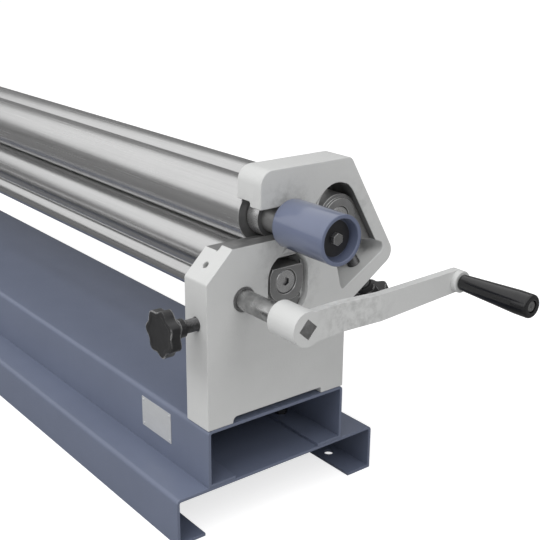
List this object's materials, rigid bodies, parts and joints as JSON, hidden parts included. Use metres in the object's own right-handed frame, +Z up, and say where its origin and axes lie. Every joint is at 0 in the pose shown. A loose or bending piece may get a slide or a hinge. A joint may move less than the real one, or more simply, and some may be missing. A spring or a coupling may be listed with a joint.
{
  "type": "slip roll machine",
  "caption": "Bench slip roll with geared pinch rolls, an adjustable bending roll behind them, a swing-out upper roll and a hand crank.",
  "frame": {"origin": "centre of the four bench bolt holes, on the face that the base stands on", "axes": "+X along the rolls towards the crank, +Y to the rear, +Z up"},
  "size_m": [1.72, 0.354, 0.4419],
  "materials": {
    "grey_paint": "satin",
    "blue_paint": "satin",
    "ground_steel": "ground and lightly oiled",
    "raw_steel": "drawn bar, blotchy",
    "dark_steel": "bare and oiled",
    "gear_steel": "greased",
    "bolt_steel": "blackened",
    "bronze": "turned",
    "black_plastic": "matte moulded",
    "gloss_plastic": "polished moulded",
    "plate_metal": "plain"
  },
  "bodies": {
    "base": {"lower_base": "blue_paint", "base_beam": "blue_paint", "right_frame": "grey_paint", "left_frame": "grey_paint", "frame_bolts": "bolt_steel", "base_bolts": "bolt_steel", "base_nuts": "bolt_steel", "shaft_bushes": "raw_steel", "pivot_pins": "raw_steel", "idler_pin": "raw_steel", "gear_cover": "grey_paint", "cover_bush": "bronze", "cover_screws": "bolt_steel", "blank_plate": "plate_metal"},
    "drive": {"drive_shaft": "raw_steel", "drive_pinion": "gear_steel", "pinion_key": "raw_steel", "pinion_clip": "raw_steel", "shaft_collars": "dark_steel", "crank_arm": "grey_paint", "crank_screw": "bolt_steel", "grip_screw": "raw_steel"},
    "grip": {"crank_grip": "gloss_plastic"},
    "idler": {"idler_gear": "gear_steel", "idler_bush": "bronze"},
    "upper_gearing": {"upper_gear": "gear_steel", "gear_stub": "raw_steel", "upper_key": "raw_steel"},
    "swing": {"swivel_block": "dark_steel", "swivel_bush": "bronze", "end_bush": "ground_steel"},
    "upper_roll": {"upper_roll": "ground_steel", "roll_claw": "dark_steel", "sleeve_washer": "dark_steel", "sleeve_bolt": "bolt_steel"},
    "sleeve": {"release_sleeve": "blue_paint"},
    "lower_carriage": {"lower_block_right": "dark_steel", "lower_block_left": "dark_steel", "lower_bushes": "bronze"},
    "lower_roll": {"lower_roll": "ground_steel", "lower_end_screw": "bolt_steel", "lower_gear": "gear_steel", "lower_key": "raw_steel", "gear_end_screw": "bolt_steel"},
    "wedges": {"lower_wedge_right": "raw_steel", "lower_wedge_left": "raw_steel"},
    "front_knob_right": {"front_knob_right": "black_plastic", "front_stud_right": "dark_steel"},
    "front_knob_left": {"front_knob_left": "black_plastic", "front_stud_left": "dark_steel"},
    "rear_carriage": {"rear_block_right": "dark_steel", "rear_block_left": "dark_steel", "rear_bushes": "bronze"},
    "rear_roll": {"rear_roll": "ground_steel", "rear_end_screws": "bolt_steel"},
    "rear_knob_right": {"rear_knob_right": "black_plastic", "rear_stud_right": "dark_steel"},
    "rear_knob_left": {"rear_knob_left": "black_plastic", "rear_stud_left": "dark_steel"}
  },
  "joints": [
    {"name": "lower_roll_adjust", "type": "slide", "parent": "base", "child": "lower_carriage", "axis": [0, 0, 1], "range_m": [-0.003, 0]},
    {"name": "lower_roll_spin", "type": "hinge", "parent": "lower_carriage", "child": "lower_roll", "pos_m": [0, 0.0073, 0.30144], "axis": [1, 0, 0], "continuous": true},
    {"name": "upper_roll_swing", "type": "hinge", "parent": "base", "child": "swing", "pos_m": [-0.674, 0.0049, 0.3774], "axis": [0, 0, -1], "range_deg": [0, 7]},
    {"name": "upper_roll_spin", "type": "hinge", "parent": "swing", "child": "upper_roll", "pos_m": [0, 0.0049, 0.3774], "axis": [1, 0, 0], "continuous": true},
    {"name": "upper_gear_spin", "type": "hinge", "parent": "base", "child": "upper_gearing", "pos_m": [-0.7465, 0.0049, 0.3774], "axis": [1, 0, 0], "continuous": true},
    {"name": "idler_spin", "type": "hinge", "parent": "base", "child": "idler", "pos_m": [-0.7165, -0.04804, 0.34513], "axis": [1, 0, 0], "continuous": true},
    {"name": "drive_spin", "type": "hinge", "parent": "base", "child": "drive", "pos_m": [0, -0.0575, 0.294], "axis": [1, 0, 0], "continuous": true},
    {"name": "sleeve_spin", "type": "hinge", "parent": "upper_roll", "child": "sleeve", "pos_m": [0.7465, 0.0049, 0.3774], "axis": [1, 0, 0], "continuous": true},
    {"name": "crank_grip_spin", "type": "hinge", "parent": "drive", "child": "grip", "pos_m": [0.8765, 0.16825, 0.30465], "axis": [1, 0, 0], "continuous": true},
    {"name": "wedge_slide", "type": "slide", "parent": "base", "child": "wedges", "axis": [0, 1, 0], "range_m": [-0.0075, 0]},
    {"name": "front_knob_right_turn", "type": "hinge", "parent": "wedges", "child": "front_knob_right", "pos_m": [0.674, -0.1305, 0.26904], "axis": [0, 1, 0], "range_deg": [-1350, 0]},
    {"name": "front_knob_left_turn", "type": "hinge", "parent": "wedges", "child": "front_knob_left", "pos_m": [-0.674, -0.1305, 0.26904], "axis": [0, 1, 0], "range_deg": [-1350, 0]},
    {"name": "rear_roll_adjust", "type": "slide", "parent": "base", "child": "rear_carriage", "axis": [0, -0.506, 0.8625], "range_m": [-0.018, 0.012]},
    {"name": "rear_roll_spin", "type": "hinge", "parent": "rear_carriage", "child": "rear_roll", "pos_m": [0, 0.0925, 0.365], "axis": [1, 0, 0], "continuous": true},
    {"name": "rear_knob_right_turn", "type": "hinge", "parent": "rear_carriage", "child": "rear_knob_right", "pos_m": [0.674, 0.14816, 0.27012], "axis": [0, -0.506, 0.8625], "range_deg": [-3240, 2160]},
    {"name": "rear_knob_left_turn", "type": "hinge", "parent": "rear_carriage", "child": "rear_knob_left", "pos_m": [-0.674, 0.14816, 0.27012], "axis": [0, -0.506, 0.8625], "range_deg": [-3240, 2160]}
  ],
  "couplings": [
    {"joint": "upper_roll_spin", "follows": "lower_roll_spin", "ratio": -1},
    {"joint": "upper_gear_spin", "follows": "lower_roll_spin", "ratio": -1},
    {"joint": "idler_spin", "follows": "lower_roll_spin", "ratio": 1.5833},
    {"joint": "drive_spin", "follows": "lower_roll_spin", "ratio": -1.3571},
    {"joint": "wedge_slide", "follows": "lower_roll_adjust", "ratio": 2.5},
    {"joint": "front_knob_right_turn", "follows": "lower_roll_adjust", "rad_per_m": 7854},
    {"joint": "front_knob_left_turn", "follows": "lower_roll_adjust", "rad_per_m": 7854},
    {"joint": "rear_knob_right_turn", "follows": "rear_roll_adjust", "rad_per_m": 3141.6},
    {"joint": "rear_knob_left_turn", "follows": "rear_roll_adjust", "rad_per_m": 3141.6}
  ]
}
